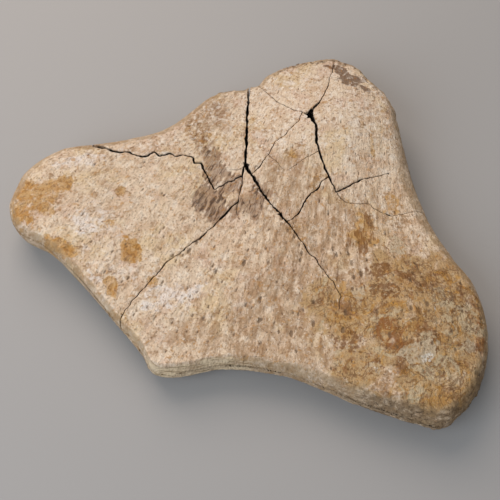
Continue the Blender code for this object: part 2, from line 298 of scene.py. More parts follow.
def relief(p, rimDistance, width, crackDistance, side):
    # millimetres that the skin stands out: a sum of noises and pits, each times the share of the place where it shows
    x, y, z = p.T
    across, along = flowPlace(x, y)

    def grainNoise(wide, long, thick, seed):      # noise drawn out along the grain
        return softNoise(np.column_stack([across / wide, along / long, z / thick]), 1, seed)

    top = ramp(rimDistance / width, 0.55, 1.1) * side
    out = sum(height * softNoise(p, size, seed) for height, size, seed in skin["waves"])
    grain = grainShare(x, y)
    fine = skin["vessels"] * grainNoise(1.9, 10, 30, 14) + skin["fibres"] * grainNoise(1.1, 4, 20, 15)
    out += fine * (0.3 + 0.7 * top) * grain
    out += skin["headGrit"] * (1 - grain) * layeredNoise(p, 3.4, 18) * top
    groove = skin["grooves"] * grooveShare(x, y) * grainNoise(2.1, 9, 30, 16)
    out += groove * top + skin["grit"] * softNoise(p, 2.4, 17) * top
    out -= skin["pores"] * pores(x, y) * top
    rim = 1 - ramp(rimDistance / width, 0.6, 1.2)
    lobeRim = rim * ramp(x, 30, 90) * ramp(-y, 40, 80)
    headRim = (1 - ramp(rimDistance / width, 0.8, 1.5)) * ramp(y, 84, 104) * ramp(x, 15, 30)
    brokenRim = rim * ramp(-y, 60, 80) * ramp(40 - x, 0, 30)
    out += skin["rimKnobs"] * rim * layeredNoise(p, 5, 21)
    knobs, pits = skin["lobeRim"]
    out += lobeRim * (knobs * layeredNoise(p, 6, 22) - pits * ramp(softNoise(p, 2.3, 23), 0.25, 0.7))
    knobs, pits = skin["headRim"]
    out += headRim * (knobs * layeredNoise(p, 5, 24) - pits * ramp(softNoise(p, 2.4, 25), 0.2, 0.6))
    sheetsOfBone = np.column_stack([x / 26, y / 26, z / 1.9 + 0.5 * softNoise(p, 20, 26)])
    sheets, grit = skin["brokenRim"]
    out += brokenRim * (sheets * softNoise(sheetsOfBone, 1, 27) + grit * layeredNoise(p, 3, 28))
    lip = np.exp(-(crackDistance / 0.8) ** 2) * (0.35 + 0.65 * ramp(softNoise(p, 3.0, 31), -0.2, 0.5))
    chip = np.exp(-(crackDistance / 1.7) ** 2) * ramp(softNoise(p, 4.5, 33), 0.35, 0.7)
    out -= (skin["lips"][0] * lip + skin["lips"][1] * chip) * side
    lobe = np.exp(-(((x - 100) / 48) ** 2 + ((y + 75) / 42) ** 2))
    return out + skin["lobeFlakes"] * lobe * (ramp(layeredNoise(p, 15, 35), 0.0, 0.07) - 0.5) * side


def wholeBone(crackPoints):
    # an upper sheet and a coarser lower one share the outline; each point then moves along its normal by the relief
    loop = roughOutline()
    x, y, onRim, rim = layOut(loop)
    rows = boneShape["rows"]
    flat = np.column_stack([x.ravel(), y.ravel()])
    distance, index = nearest(flat, loop[:, :2])
    isRim = onRim.ravel()
    distance = np.where(isRim, 0, distance)
    width = np.where(isRim, rim[2].ravel(), loop[index, 2])
    waist = np.where(isRim, rim[3].ravel(), loop[index, 3])
    upper = shoulder(upperHeight(*flat.T), waist, distance, width, boneShape["roundAbove"])
    lower = shoulder(lowerHeight(*flat.T), waist, distance, width * boneShape["widerBelow"], boneShape["roundBelow"])
    crackDistance, crackIndex = nearest(flat, crackPoints)
    crackDistance = crackDistance / np.clip(crackPoints[crackIndex, 2] / 1.2, 0.3, 1)      # hairlines are hardly worn

    number = np.arange((rows + 1) ** 2).reshape(rows + 1, rows + 1)
    topLoops = np.stack([number[:-1, :-1], number[1:, :-1], number[1:, 1:], number[:-1, 1:]], -1).reshape(-1, 4)
    inner = np.zeros(x.shape, dtype=bool)         # points of the underside alone: every second row and column
    inner[2:-2:2, 2:-2:2] = True
    lowNumber = np.where(onRim, number, -1)
    lowNumber[inner] = (rows + 1) ** 2 + np.arange(inner.sum())
    n00, n10 = lowNumber[:-1:2, :-1:2], lowNumber[2::2, :-1:2]
    n11, n01 = lowNumber[2::2, 2::2], lowNumber[:-1:2, 2::2]
    between = np.where(onRim, number, -1)         # rim points half way along a coarse quad's side, else -1
    m0, m2 = between[:-1:2, 1::2], between[2::2, 1::2]
    m1, m3 = between[1::2, 2::2], between[1::2, :-1:2]
    lowLoops = np.stack([n00, m0, n01, m1, n11, m2, n10, m3], -1).reshape(-1, 8)
    used = lowLoops >= 0
    loops = np.concatenate([topLoops.ravel(), lowLoops[used]])
    counts = np.concatenate([np.full(len(topLoops), 4), used.sum(1)])

    low = inner.ravel()
    p = np.vstack([np.column_stack([flat, upper]), np.column_stack([flat[low], lower[low]])])
    mesh = meshFromArrays("wholeBone", p / 1000, loops, counts)
    normal = np.empty(len(mesh.vertices) * 3, dtype=np.float32)
    mesh.vertex_normals.foreach_get("vector", normal)
    distance, width, crackDistance = [
        np.concatenate([values, values[low]]) for values in (distance, width, crackDistance)]
    side = np.concatenate([np.ones(len(flat)), np.zeros(low.sum())])
    resting = np.concatenate([np.zeros(len(flat)), ramp(2.0 - lower[low], 0, 2.0)])      # the pads stay flat
    p += normal.reshape(-1, 3) * (relief(p, distance, width, crackDistance, side) * (1 - resting))[:, None]
    p[:, 2] = np.maximum(p[:, 2], 0)
    mesh.vertices.foreach_set("co", inMetres(p).astype(np.float32).ravel())
    mesh.update()
    return mesh


# Cracks: gap at the start and at the end, how far the line wanders, depth (0 goes right through), then its bends.
cracks = {
    "crownSplit": (1.75, 1.6, 0.3, 0, [
        (7.6, 118), (6, 100), (5.3, 84.5), (4.5, 60.3), (3.9, 46.1), (4.9, 42.6)]),
    "deepSplit": (1.9, 1.3, 0.55, 0, [
        (4.3, 44), (6.8, 38.2), (13.3, 25.9), (17.2, 18.8), (20.6, 15.1), (26.8, 5.9), (30.3, 1)]),
    "deepSplitTail": (1.1, 0.36, 0.5, 16, [
        (29.4, 2.2), (35.1, -6.9), (42.9, -20.2), (46.7, -24.9), (60.1, -47.8), (61.3, -52), (60, -60)]),
    "rightBranch": (0.95, 1.05, 0.55, 0, [
        (29.4, 1.2), (33.7, 2.8), (37.2, 6.1), (39.7, 9.8), (41.8, 14.3), (45.7, 19.7), (50.6, 23.5), (53.8, 28),
        (57.8, 31.6)]),
    "neckSplit": (1.95, 1.1, 0.3, 0, [
        (46, 74.6), (50.2, 66.6), (49.9, 54.8), (51.6, 48.8), (53.6, 41), (57.4, 31.1), (61.9, 20.2)]),
    "neckUpper": (2.5, 1.1, 0.2, 0, [(46, 72), (46.8, 76), (49.1, 79.9), (53.3, 84.6)]),
    "crownHairline": (0.75, 0.22, 0.4, 0, [
        (52.9, 84.1), (55.4, 88.7), (58.8, 96.4), (60.4, 102), (60.6, 106.5), (62.7, 111.9), (68, 137)]),
    "notchHairline": (0.65, 0.22, 0.35, 0, [
        (47, 73.6), (39.1, 79), (32.3, 84), (25.5, 90), (19.1, 98.3), (15.2, 103.7), (8, 116)]),
    "wedgeHairline": (0.55, 0.65, 0.45, 0, [
        (41.7, 78.3), (38.9, 71.1), (33.9, 67.6), (29.4, 62.7), (23.1, 58.4), (18.7, 50.3), (14.3, 43.1),
        (7.2, 36.6)]),
    "flankHairline": (0.6, 0.28, 0.35, 0, [
        (61.4, 21.4), (64.5, 15.6), (68.1, 12.8), (76.7, 12.5), (82.2, 12.5), (84.7, 9.4), (90, 6), (96.6, 3.4),
        (103.3, 4.8), (111.6, 7.3), (117.5, 8.1), (130, 11)]),
    "sideBranch": (1.5, 0.8, 0.3, 14, [(61.2, 20.4), (70.3, 24.3), (77.3, 28.3), (84.3, 29.9), (96.5, 33.8)]),
    "upperLeftSplit": (1.8, 0.9, 0.65, 0, [
        (-104, 72), (-96.5, 59.2), (-90.7, 56.2), (-83.8, 54.3), (-69.5, 52), (-63.8, 49.7), (-56.2, 53.3),
        (-52.9, 51.1), (-45.5, 52.4), (-42.2, 50.4), (-36.2, 51.7), (-30.4, 49.7), (-29.6, 45.6), (-25.3, 45.2),
        (-22.7, 39.5), (-15.8, 26.4), (-10.3, 29.8), (2.4, 36)]),
    "shortLink": (1, 1.1, 0.15, 0, [(1.8, 34.8), (3, 42.2), (5.2, 43.6)]),
    "leftLink": (0.5, 0.6, 0.25, 0, [(2.1, 36.6), (1.7, 29.5), (0, 21.6), (-0.5, 16.4)]),
    "linkTail": (0.4, 0.25, 0.25, 4, [(-0.4, 17.6), (-1.6, 8.1)]),
    "leftSplit": (1.15, 0.4, 0.5, 0, [
        (-0.1, 17.4), (-7.3, 10.2), (-13.7, 2.7), (-22.4, -8.5), (-29.3, -13.8), (-36.6, -21), (-44, -26.7),
        (-54.6, -39.8), (-63.2, -51.6), (-70.1, -62.9), (-78, -79)]),
    "wedgeSlot": (0.6, 0.3, 0.35, 7, [(51.2, 48.3), (43.9, 45.1), (39, 42.1), (31.5, 37.3)]),
    "wedgeSlotSide": (0.4, 0.25, 0.3, 5, [(18.2, 50.8), (23.6, 44.6), (29.1, 37.6)]),
    "junctionSlot": (0.75, 0.3, 0.3, 8, [(3.4, 42.4), (-0.5, 40.4), (-6.5, 40.9)]),
    "deepSideSlot": (0.65, 0.3, 0.3, 6, [(13.6, 26.2), (6.2, 23.5)]),
}

# Corners broken out of the upper face where cracks meet: depth, then three corners.
chips = {
    "neck": (19, [(42.3, 76.2), (47.8, 79.8), (50.3, 66.8)]),
    "deep": (9, [(24, 6.8), (27, 8.2), (28.6, 3)]),
    "crown": (12, [(2, 46.6), (7, 44), (4.2, 39.4)]),
    "leftEnd": (5, [(-98, 60.4), (-90, 58.4), (-85, 53.8)]),
}

# The cutting wedges: step along a crack, floor of a through crack, top of every cut, narrowest half gaps.
cutting = {"step": 0.65, "floor": -3.0, "top": 62.0, "narrowSlot": 0.05, "narrowThrough": 0.16}


def sideways(line):
    # unit vectors to the left of a line's direction
    step = np.gradient(line, axis=0)
    return np.stack([-step[:, 1], step[:, 0]], 1) / np.linalg.norm(step, axis=1)[:, None]


def wanderingLine(bends, wander, seed):
    # the bent line cut into short steps, moved sideways by soft noise of 5 and 2.2 mm and by two zigzags with a corner
    # every 3.1 and 1.3 mm; its ends stay put
    bends = np.array(bends, dtype=float)
    along = np.concatenate([[0], np.cumsum(np.linalg.norm(np.diff(bends, axis=0), axis=1))])
    place = np.linspace(0, along[-1], max(4, int(along[-1] / cutting["step"])))
    line = np.column_stack([np.interp(place, along, bends[:, 0]), np.interp(place, along, bends[:, 1])])
    p = np.column_stack([place, np.full(len(place), seed * 31.7), np.zeros(len(place))])
    shift = wander * (0.6 * softNoise(p, 5, seed) + 0.3 * softNoise(p, 2.2, seed + 1))
    for apart, share in ((3.1, 0.9), (1.3, 0.5)):
        corners = np.arange(0, along[-1] + 5, apart)
        kick = 2 * cellNumber(np.arange(len(corners)), np.zeros(len(corners), dtype=np.int64), 0, seed + int(apart)) - 1
        shift += share * wander * np.interp(place, corners, kick)
    shift *= np.clip(np.minimum(place, along[-1] - place) / 2.5, 0, 1)
    return line + sideways(line) * shift[:, None], p


def crackMesh(name, startGap, endGap, wander, depth, bends, seed):
    # a closed wedge along the line: its half width is the gap's, times a share that falls from the top to the floor
    line, p = wanderingLine(bends, wander, seed)
    side = sideways(line)
    gap = np.linspace(startGap, endGap, len(line))
    gap = gap * (1 + 0.3 * softNoise(p, 4, seed + 5) + 0.35 * softNoise(p, 1.6, seed + 6))
    height = upperHeight(*line.T)
    if depth:                                    # levels of the wedge and the share of the gap at each
        levels = [(height - depth, 0.1), (height - 0.5 * depth, 0.5), (height - 1.2, 0.9)]
    else:
        levels = [(height * 0 + cutting["floor"], 0.25), (height * 0 + 8, 0.25)]
        levels += [(height - 7, 0.3), (height - 1.2, 0.95)]
    levels += [(height + 1.5, 1.2), (height * 0 + cutting["top"], 1.2)]
    rings = []
    for k, (z, share) in enumerate(levels):
        narrow = cutting["narrowSlot"] if depth else cutting["narrowThrough"]
        half = np.maximum(0.5 * gap * share, narrow)[:, None]
        lean = 0.35 * softNoise(p + 11.0 * k, 6, seed + 9)[:, None] * (0 if k >= len(levels) - 3 else 1)
        left, right = line + side * (half + lean), line - side * (half - lean)
        rings.append(np.stack([np.column_stack([left, z]), np.column_stack([right, z])]))
    grid = np.stack(rings)                       # level, side, step, xyz
    levelCount, _, count, _ = grid.shape
    number = np.arange(levelCount * 2 * count).reshape(levelCount, 2, count)
    quads = []
    for k in range(levelCount - 1):
        (a, c), (b, d) = number[k], number[k + 1]
        quads += [np.stack([a[1:], a[:-1], b[:-1], b[1:]], 1), np.stack([c[:-1], c[1:], d[1:], d[:-1]], 1)]
        quads += [np.array([[a[0], c[0], d[0], b[0]], [c[-1], a[-1], b[-1], d[-1]]])]
    (a, c), (b, d) = number[0], number[-1]
    quads += [np.stack([a[:-1], a[1:], c[1:], c[:-1]], 1), np.stack([b[1:], b[:-1], d[:-1], d[1:]], 1)]
    quads = np.concatenate(quads)
    mesh = meshFromArrays(name, inMetres(grid.reshape(-1, 3)), quads.ravel(), np.full(len(quads), 4))
    return mesh, np.column_stack([line, gap])


def chipMesh(name, depth, corners, seed):
    # a jagged upright prism on a three-cornered ring that shrinks to 0.7 of its size at its floor
    ring = np.array(corners + corners[:1], dtype=float)
    line = np.concatenate([np.linspace(a, b, 6, endpoint=False) for a, b in zip(ring[:-1], ring[1:])])
    area = np.sum(line[:, 0] * np.roll(line[:, 1], -1) - np.roll(line[:, 0], -1) * line[:, 1])
    line = line if area > 0 else line[::-1]
    middle = line.mean(axis=0)
    p = np.column_stack([line, np.zeros(len(line))])
    line = middle + (line - middle) * (1 + 0.16 * softNoise(p, 1.5, seed))[:, None]
    top = float(upperHeight(*middle))
    levels = [(top - depth, 0.7), (top - 0.4 * depth, 0.9), (top - 3.0, 0.97), (top - 1.2, 1.0), (top + 2, 1.0)]
    levels.append((cutting["top"], 1.0))
    grid = np.stack([np.column_stack([middle + (line - middle) * s, np.full(len(line), z)]) for z, s in levels])
    number = np.arange(grid.shape[0] * grid.shape[1]).reshape(grid.shape[:2])
    walls = [np.stack([a, np.roll(a, -1), np.roll(b, -1), b], 1).ravel() for a, b in zip(number[:-1], number[1:])]
    loops = np.concatenate(walls + [number[0][::-1], number[-1]])
    counts = np.concatenate([np.full(len(line) * (len(levels) - 1), 4), [len(line), len(line)]])
    return meshFromArrays(name, inMetres(grid.reshape(-1, 3)), loops, counts)


def linked(name, data):
    # a new object in the scene, at the origin
    item = bpy.data.objects.new(name, data)
    bpy.context.scene.collection.objects.link(item)
    return item


def breakApart(bone, tools):
    # every crack cut from the bone one after the other, then the loose pieces parted
    for tool in tools:
        step = bone.modifiers.new(tool.name, "BOOLEAN")
        step.operation, step.solver, step.object = "DIFFERENCE", "MANIFOLD", tool
    graph = bpy.context.evaluated_depsgraph_get()
    broken = bpy.data.meshes.new_from_object(bone.evaluated_get(graph))
    bone.modifiers.clear()
    bone.data = broken
    for tool in tools:
        bpy.data.objects.remove(tool, do_unlink=True)
    for item in bpy.context.selected_objects:
        item.select_set(False)
    bpy.context.view_layer.objects.active = bone
    bone.select_set(True)
    bpy.ops.object.mode_set(mode="EDIT")
    bpy.ops.mesh.select_all(action="SELECT")
    bpy.ops.mesh.separate(type="LOOSE")
    bpy.ops.object.mode_set(mode="OBJECT")
    return list(bpy.context.selected_objects)


def coordinates(mesh):
    # the points of a mesh in metres, one row each
    co = np.empty(len(mesh.vertices) * 3, dtype=np.float32)
    mesh.vertices.foreach_get("co", co)
    return co.reshape(-1, 3).astype(float)


# Stains by kind: x, y, half length, half width, turn in degrees, strength.
stains = {
    "ochre": {
        "tipWash": (-127, 16, 20, 19, 30, 0.72), "tipDeep": (-136, 4.4, 8, 10.5, 80, 1),
        "tipRim": (-136, 20.4, 7, 10.5, 60, 0.9), "leftRound": (-111, 26.4, 7.6, 8.4, 0, 1),
        "leftMottle": (-125, 18.4, 11.4, 11.8, 30, 0.8), "leftStripe": (-124, 9.4, 7.6, 3.5, 35, 0.7),
        "leftHeel": (-111, -17, 11.5, 5.2, -28, 1), "heelEnd": (-101, -20.6, 4.4, 4.2, -10, 0.8),
        "midRound": (-66, -18.6, 7.6, 9.2, 0, 1), "lowSpot": (-77, -44.6, 4.2, 8, 20, 0.9),
        "crackSpot": (-52, -38.6, 4.4, 4.6, 0, 0.85), "smallBar": (-82, -1.6, 5.6, 3.4, 15, 0.8),
        "upperSpot": (-75, 22.4, 5, 4.6, 0, 0.7), "flangeStreak": (-34, 75.4, 1.9, 6.3, -25, 0.5),
        "wedgeSpot": (37, 50, 7, 5.5, 20, 0.62), "flangeOchre": (-27, 67, 8, 11, 30, 0.6),
        "headSpot": (79, 65.4, 3.6, 3.2, 0, 0.65), "neckStreak": (50, 29, 3, 7, -35, 0.6),
        "splitOchre": (34, -4, 5, 5, 0, 0.6), "rightUnderStreaks": (78, -8, 9, 14, -8, 0.82),
        "headArc": (86, 51, 2.2, 10, 5, 0.8), "rightUpper": (97, 12.4, 6.5, 10, -20, 0.85),
        "rightUnder": (103, -0.6, 6.3, 7, 0, 0.5), "smallUnder": (39, -1.6, 3.1, 2.8, 0, 0.45),
        "smallUnderTwo": (23, -10.6, 1.9, 3.5, 0, 0.4), "arc": (63, -45.6, 3.1, 10.5, -15, 0.85),
        "arcTop": (69, -36.6, 5.7, 3.5, 20, 0.6), "lowCurl": (64, -98.6, 5.7, 7.7, 0, 0.7),
        "lowYellow": (85, -107.6, 12, 7, -15, 0.6), "lowYellowTwo": (98, -117.6, 5, 3.5, -15, 0.55),
        "rightYellow": (127, -92.6, 10.7, 4.9, 5, 0.65),
    },
    "rust": {
        "core": (89, -77.6, 10.7, 12.6, -30, 0.9), "coreTop": (82, -68.6, 8.8, 5.6, 0, 0.6),
        "shoulder": (120, -47.6, 21.4, 9.8, -28, 0.6), "lowLine": (113, -101.6, 9.4, 4.9, -15, 0.7),
        "rimLow": (141, -86.6, 4.4, 22.4, 5, 0.75), "flankPatch": (105, -30.6, 8.8, 6.3, -35, 0.45),
        "roundEdge": (-108, 25.4, 3.1, 6.3, 0, 0.35), "lowEdge": (122, -113.6, 8.8, 8.4, 30, 0.45),
    },
    "umber": {
        "blotchLeft": (-21, 21, 12, 9, 38, 1), "blotchLow": (-15, 11, 7.6, 12.6, -32, 1),
        "blotchCorner": (-14, 37, 11, 9, 35, 0.95), "flangeStreak": (-24, 60, 7.5, 10, 35, 0.75),
        "flangeLow": (-18, 48, 8, 8, 40, 0.85), "flangeUp": (-14, 85, 7, 11, -30, 0.65),
        "linkLeft": (-4, 29, 9.5, 9, 20, 0.9), "linkRight": (9, 17, 10, 13.6, -15, 0.9),
        "besideSplit": (15, 24, 7.5, 8.4, 0, 0.85), "underLink": (-1, 15, 8, 10, -25, 0.8),
        "wedgeLeft": (21, 46, 6, 6.6, 0, 0.5), "lowRight": (15, 5, 6, 11, -10, 0.55),
    },
    "streak": {
        "rightStreaks": (82, -3, 3.4, 11, 2, 1), "rightStreaksMid": (75.5, -12, 3.6, 11, 4, 1),
        "rightStreaksLow": (69.5, -18, 3.2, 9, 4, 0.9), "flangeBrown": (-27, 70, 7, 10, 35, 0.8),
        "rightGrooves": (58, -36, 5, 14, 12, 0.5), "upperStreak": (97, 10, 4.6, 9, 10, 0.55),
    },
    "crownGrey": {
        "patch": (76.5, 104.5, 10, 7.5, -50, 1), "patchUp": (71, 113, 5.5, 5, -30, 0.8),
        "rimLine": (66, 118, 11, 2.6, -14, 0.9), "rimSide": (90, 96, 3, 8, -20, 0.5),
        "rimLow": (97, 78, 2.2, 8, 10, 0.45),
    },
    "pale": {
        "leftBroad": (-78, -22, 32, 15, -35, 0.6), "leftRim": (-106, 44.4, 18.9, 5.6, 12, 0.85),
        "lowerLeft": (-41, -49.6, 18.9, 9.8, 15, 0.85), "lowerRim": (-84, -45.6, 3.1, 16.8, 35, 0.7),
        "headLeft": (38, 106, 20, 8, 10, 0.65), "leftMid": (-90, 4, 19, 10, 25, 0.68),
    },
    "paleTan": {
        "rightPatch": (98, -20.6, 6.3, 7.7, 20, 0.9), "arcInside": (71, -50.6, 5.7, 8.4, 0, 0.8),
        "lobeGrey": (105, -89.6, 12.6, 7.7, 10, 0.9), "lobeTop": (87, -50.6, 11.3, 7, 0, 0.5),
        "curlSide": (77, -97.6, 5.7, 4.2, 0, 0.75), "rimChip": (130, -64.6, 5.7, 3.5, 0, 0.7),
        "rimChipTwo": (133, -85.6, 4.4, 5.6, 0, 0.8), "ringInside": (66, -80.6, 9.4, 6.3, 0, 0.6),
        "lobeUpper": (83, -35.6, 9.4, 6.3, 0, 0.5),
    },
    # whitish crystal spots, and "corner", a painted highlight on the lip of the lower right corner
    "crystalAndHighlight": {
        "big": (109, -92.6, 4, 4, 0, 0.9), "small": (78, -99.6, 1.9, 2.1, 0, 0.7),
        "streak": (115, -63.6, 0.9, 2.8, 20, 0.9), "rim": (138, -74.6, 1.9, 3.5, 20, 0.6),
        "low": (128, -101.6, 2.5, 2.1, 0, 0.35), "corner": (122, -121.6, 5.7, 3.5, 30, 0.45),
    },
    "grey": {
        "headPatch": (67, 54.4, 6.3, 5.6, 0, 0.5), "headLow": (74, 26.4, 4.4, 4.2, 0, 0.4),
        "lobeUpper": (83, -35.6, 9.4, 6.3, 0, 0.45), "lowMid": (7, -87.6, 4.4, 2.8, 0, 0.6),
        "leftDots": (-97, -13.6, 5.7, 4.2, 20, 0.4), "centreLow": (-14, -74.6, 25.2, 12.6, 0, 0.15),
    },
}

# Where the ground colour is warmer and darker: x, y, reach, amount.
warmth = {
    "lobe": (100, -66, 58, 1), "middle": (25, -25, 55, 0.5), "rightBand": (96, 8, 32, 0.55),
    "wedge": (31, 38, 24, 0.95), "flange": (-24, 84, 28, 1.15), "besideSplit": (42, -2, 24, 0.75),
    "neck": (75, 25, 20, 0.3), "lowerMiddle": (20, -72, 42, 0.85), "umber": (-14, 24, 22, 0.5),
    "corner": (-38, -80, 28, 0.72), "leftUpper": (-83, 32, 28, 0.66), "lowerRight": (62, -92, 30, 0.25),
}

# Where the iron-stained lobe shows its own ground: x, y, half length, half width, amount.
lobeGround = {
    "main": (110, -66, 50, 54, 1), "corner": (116, -104, 34, 26, 1), "left": (57, -62, 26, 30, 0.8),
    "top": (96, -22, 26, 26, 0.55), "low": (70, -94, 28, 17, 0.85), "upper": (76, -8, 18, 22, 0.45),
}

# Thin brown lines that stand in the surface: width, then the points of the line.
tideLines = {
    "lobeContour": (0.8, [(36.7, -70.3), (44.2, -75.7), (54.1, -74.4), (57.7, -84.6), (66.7, -87.7), (74.6, -88.3)]),
    "midHairline": (0.7, [(-1.8, 8.3), (2.7, 1.6), (7.7, -8.7)]),
    "headLine": (0.8, [(54, 85.4), (60, 86.8), (71.5, 82.8), (77.5, 83.6)]),
    "lobeArc": (0.7, [(60, -60), (59, -68), (61.5, -76), (57.7, -84.6)]),
}


def stainMask(kind, x, y, edge):
    # per patch an oval distance e and a ramp m of 1.12 - e + edge noise; patches join as 1 - product(1 - m)
    clear = np.ones(len(x))
    for cx, cy, rx, ry, turn, strength in stains[kind].values():
        c, s = math.cos(math.radians(turn)), math.sin(math.radians(turn))
        dx, dy = x - cx, y - cy
        e = np.hypot((dx * c + dy * s) / rx, (dy * c - dx * s) / ry)
        clear *= 1 - strength * ramp(1.12 - e + edge, 0, 0.42)
    return 1 - clear


def paintMasks(mesh, loop, crackPoints):
    # per point, one value from 0 to 1 for each kind of colour: ramps of its place, depth and distances, with edges
    # broken up by noise; and its place along the grain
    p = coordinates(mesh) * 1000
    p[:, :2] += boneShape["middle"]
    x, y, z = p.T
    distance, index = nearest(p, loop[:, :2])
    width, waist = loop[index, 2], loop[index, 3]
    crackDistance = nearest(p, crackPoints)[0]
    across, along = flowPlace(x, y)
    edge = sum(amount * softNoise(p, size, seed) for amount, size, seed in (
        (0.24, 11, 50), (0.3, 5, 51), (0.22, 2.4, 52), (0.12, 1.2, 53)))
    streaky = 0.24 * softNoise(np.column_stack([across / 1.5, along / 6, z / 30]), 1, 54)
    streaky += 0.22 * softNoise(np.column_stack([across / 4, along / 14, z / 30]), 1, 55) + 0.55 * edge

    depth = shoulder(upperHeight(x, y), waist, distance, width, boneShape["roundAbove"]) - z
    wide = width * boneShape["widerBelow"]
    overGround = z - shoulder(lowerHeight(x, y), waist, distance, wide, boneShape["roundBelow"])
    shares = [(a, b, 6 - a - b) for a in range(7) for b in range(7 - a)]      # a grid of points inside each chip
    chipPoints = np.array([np.average(corners, axis=0, weights=w) for _, corners in chips.values() for w in shares])
    nearCut = 1 - ramp(np.minimum(crackDistance, nearest(p, chipPoints)[0]), 1.3, 2.1)
    # broken: the walls of cracks and chips below the top edge, where the near-black painted crack shade goes
    broken = ramp(depth, 0.5, 1.2) * nearCut * ramp(overGround, 0.6, 2.5) * ramp(distance / width, 0.15, 0.35)
    under = (1 - ramp(overGround, 0.8, 2.5)) * ramp(depth, 6, 12)

    lobe = np.maximum.reduce([
        amount * np.exp(-(((x - cx) / rx) ** 2 + ((y - cy) / ry) ** 2) ** 2)
        for cx, cy, rx, ry, amount in lobeGround.values()])
    lobe += 0.34 * layeredNoise(p, 22, 61, 5)
    warm = sum(
        amount * np.exp(-((x - cx) ** 2 + (y - cy) ** 2) / reach ** 2) for cx, cy, reach, amount in warmth.values())
    lines = np.zeros(len(x))
    for lineWidth, points in tideLines.values():
        line = wanderingLine(points, 0.8, 91)[0]
        lines = np.maximum(lines, np.exp(-(nearest(p, line)[0] / lineWidth) ** 2))

    def rimShare(rough, low, high):              # 1 on the rim and 0 inside it
        return 1 - ramp(distance / width + rough * edge, low, high)

    fade = 1 - 0.85 * ramp(upperHeight(x, y) - z + 5 * edge, 9, 20)      # stains hardly run down the walls
    edges = {"umber": streaky, "streak": 1.8 * streaky}
    masks = {kind: fade * stainMask(kind, x, y, edges.get(kind, edge)) for kind in stains}
    masks.update({kind + "Rim": 4 * masks[kind] * (1 - masks[kind]) for kind in ("ochre", "rust", "paleTan")})
    masks.update({
        "grainy": grainShare(x, y),
        "grooved": np.minimum(grooveShare(x, y), 1),
        "lobe": ramp(lobe, 0.15, 0.85),
        "warm": warm,
        "line": lines * ramp(depth, 4, 2),
        "pore": pores(x, y) * ramp(distance / width, 0.5, 1.0) * (1 - under) * (1 - broken),
        "broken": broken,
        "under": under,
        "lip": np.exp(-((crackDistance - 1.5) / 0.9) ** 2) * (1 - broken) * ramp(depth, 5, 2),
        # the rounded rim, where the painted rim shade goes
        "rimShadeBand": rimShare(0.25, 0.45, 1.0),
        # the lower left broken wall, where pale paint stands in for fill light
        "rimWall": rimShare(0.3, 0.35, 0.9) * ramp(-y + 14 * edge, 50, 88)
        * ramp(x + 16 * edge, -84, -48) * ramp(16 * edge - x, -38, 8),
        "lobeWall": rimShare(0.3, 0.3, 0.85) * ramp(-y + 10 * edge, 72, 98) * ramp(x + 20 * edge, 5, 85)
        * (1 - under),
        "head": ramp(y + 10 * edge, 34, 58),
        "headRim": rimShare(0.5, 0.55, 1.25) * ramp(y + 10 * edge, 84, 104) * ramp(x, 15, 30),
    })
    for name, values in masks.items():
        layer = mesh.attributes.new(name, "FLOAT", "POINT")
        layer.data.foreach_set("value", np.clip(values, 0, 1).astype(np.float32))
    flow = mesh.attributes.new("flow", "FLOAT_VECTOR", "POINT")
    flow.data.foreach_set("vector", np.column_stack([across, along, z]).astype(np.float32).ravel())


def linear(hexColour):
    # sRGB hex to linear light
    parts = [int(hexColour[k:k + 2], 16) / 255 for k in (1, 3, 5)]
    return tuple(c / 12.92 if c <= 0.04045 else ((c + 0.055) / 1.055) ** 2.4 for c in parts) + (1.0,)


def addNode(tree, kind, settings=None, links=None):
    # one node with its settings (a property of the node, or an input by name or number) and the sockets that feed it
    node = tree.nodes.new(kind)
    for key, value in (settings or {}).items():
        if isinstance(key, str) and key not in node.inputs:
            setattr(node, key, value)
        else:
            node.inputs[key].default_value = value
    for key, source in (links or {}).items():
        tree.links.new(source, node.inputs[key])
    return node


